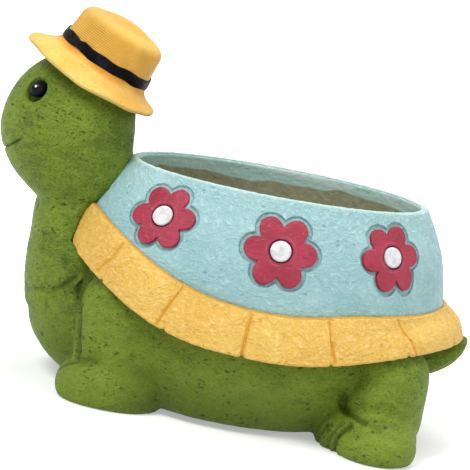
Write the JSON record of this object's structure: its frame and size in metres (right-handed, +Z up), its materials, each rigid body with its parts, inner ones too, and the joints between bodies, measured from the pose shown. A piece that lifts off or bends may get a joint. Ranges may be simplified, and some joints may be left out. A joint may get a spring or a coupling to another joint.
{
  "type": "animal shaped planter",
  "caption": "Painted resin planter in the shape of a standing turtle with a straw hat; its hollow shell is the pot.",
  "frame": {"origin": "centre of the bounding box on the ground, under the four feet", "axes": "+X towards the tail, -X towards the head, +Z up, -Y is the turtle's left side"},
  "size_m": [0.2835, 0.19, 0.2091],
  "materials": {
    "green_skin": "mottled hand-painted resin, fine dark pores, satin",
    "green_body": "mottled hand-painted resin outside, grey-olive bare cast inside",
    "blue_shell": "brushed pale blue paint over cast texture, satin",
    "yellow_rim": "brushed yellow paint, darker grooves, satin",
    "straw": "painted to look like plaited straw, satin",
    "black_ribbon": "black paint, semi-gloss",
    "black_eye": "black gloss paint",
    "pink_petals": "deep pink paint, satin",
    "white_centre": "white paint, satin"
  },
  "bodies": {
    "root": {"body": "green_body", "chest": "green_skin", "neck": "green_skin", "head": "green_skin", "front_left_leg": "green_skin", "front_right_leg": "green_skin", "rear_left_leg": "green_skin", "rear_right_leg": "green_skin", "tail": "green_skin", "shell": "blue_shell", "shell_rim": "yellow_rim", "hat": "straw", "hat_band": "black_ribbon", "left_eye": "black_eye", "right_eye": "black_eye", "left_front_flower": "pink_petals", "left_middle_flower": "pink_petals", "left_rear_flower": "pink_petals", "right_front_flower": "pink_petals", "right_middle_flower": "pink_petals", "right_rear_flower": "pink_petals", "left_front_flower_centre": "white_centre", "left_middle_flower_centre": "white_centre", "left_rear_flower_centre": "white_centre", "right_front_flower_centre": "white_centre", "right_middle_flower_centre": "white_centre", "right_rear_flower_centre": "white_centre"}
  },
  "joints": []
}
